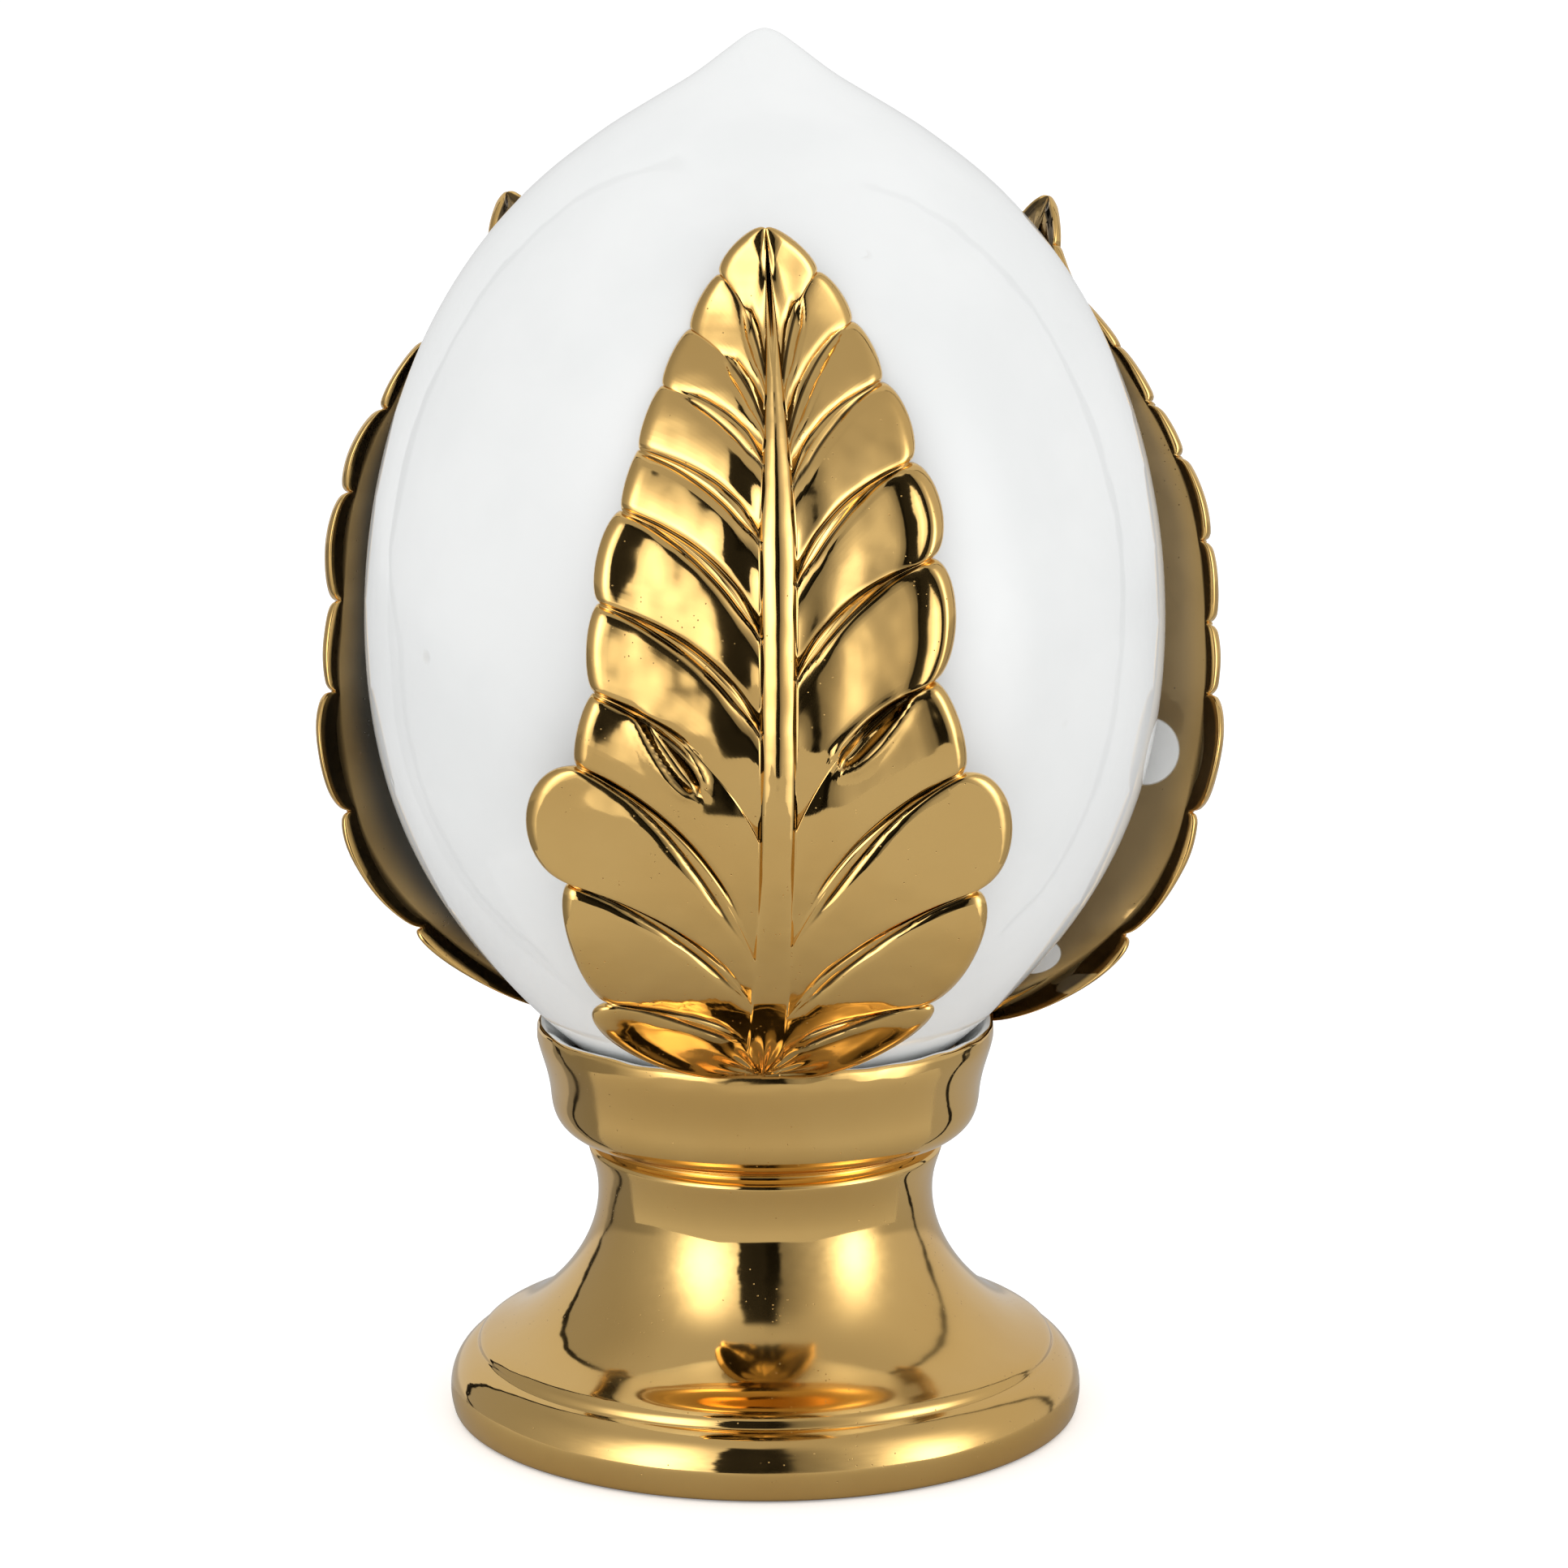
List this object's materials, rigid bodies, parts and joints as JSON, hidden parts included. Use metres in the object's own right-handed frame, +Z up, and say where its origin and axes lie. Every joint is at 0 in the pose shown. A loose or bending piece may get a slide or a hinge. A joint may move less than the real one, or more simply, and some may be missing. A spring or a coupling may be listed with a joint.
{
  "type": "pumo finial",
  "caption": "Bud-shaped ornamental finial with an ogee tip, wrapped by carved acanthus leaves and seated in the cup of a turned pedestal foot; stands on a shelf or post",
  "frame": {"origin": "centre of the foot's flat underside, on the axis of the turned pedestal and bud", "axes": "+Z up along the turned axis to the bud's tip; -Y out of the face of leaf_front; +X to the right as seen from the front"},
  "size_m": [0.1626, 0.1533, 0.2501],
  "materials": {
    "white_glaze": "smooth glossy white glaze",
    "gold_lustre_foot": "mirror-bright gold lustre over glaze, with fine pits",
    "gold_lustre_leaf": "mirror-bright gold lustre over glaze, on moulded relief"
  },
  "bodies": {
    "root": {"bud": "white_glaze", "pedestal": "gold_lustre_foot", "leaf_front": "gold_lustre_leaf", "leaf_right": "gold_lustre_leaf", "leaf_left": "gold_lustre_leaf"}
  },
  "joints": []
}
